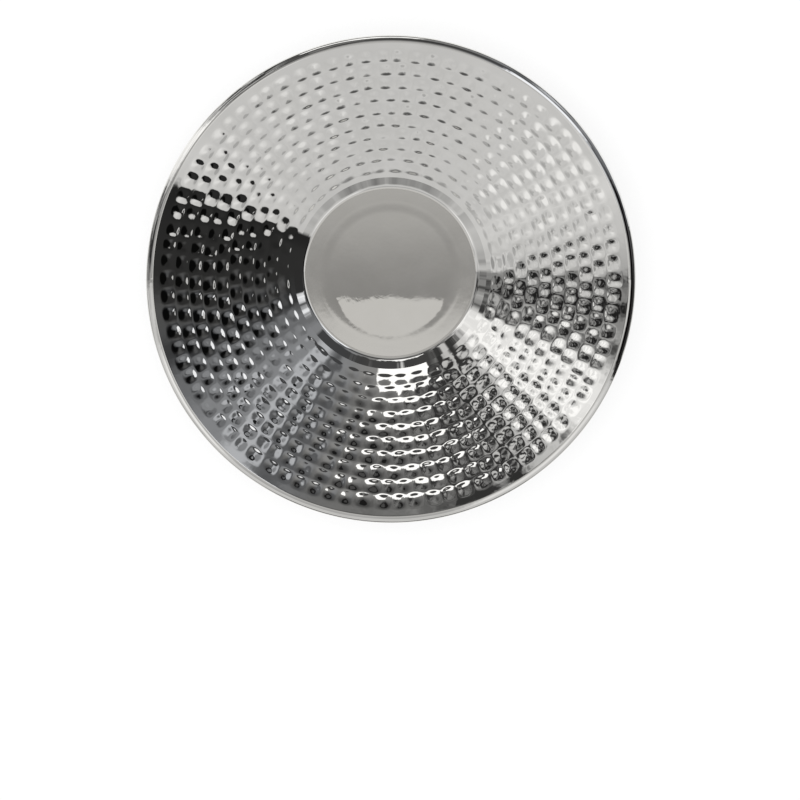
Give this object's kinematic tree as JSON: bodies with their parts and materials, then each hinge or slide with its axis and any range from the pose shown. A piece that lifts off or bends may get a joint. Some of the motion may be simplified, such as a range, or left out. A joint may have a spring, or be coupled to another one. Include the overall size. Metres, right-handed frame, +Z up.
{
  "type": "hammered bowl",
  "caption": "Wide shallow metal bowl with a flared hammered wall, a small sunk flat floor and a turned-down lip curled round a wire, for serving or display.",
  "frame": {"origin": "on the ground under the middle of the floor", "axes": "+Z up along the bowl's axis, X and Y across the rim"},
  "size_m": [0.35, 0.35, 0.0648],
  "materials": {
    "polished_steel": "mirror polished and hammered",
    "drawn_wire": "drawn"
  },
  "bodies": {
    "root": {"bowl_shell": "polished_steel", "rim_wire": "drawn_wire"}
  },
  "joints": []
}
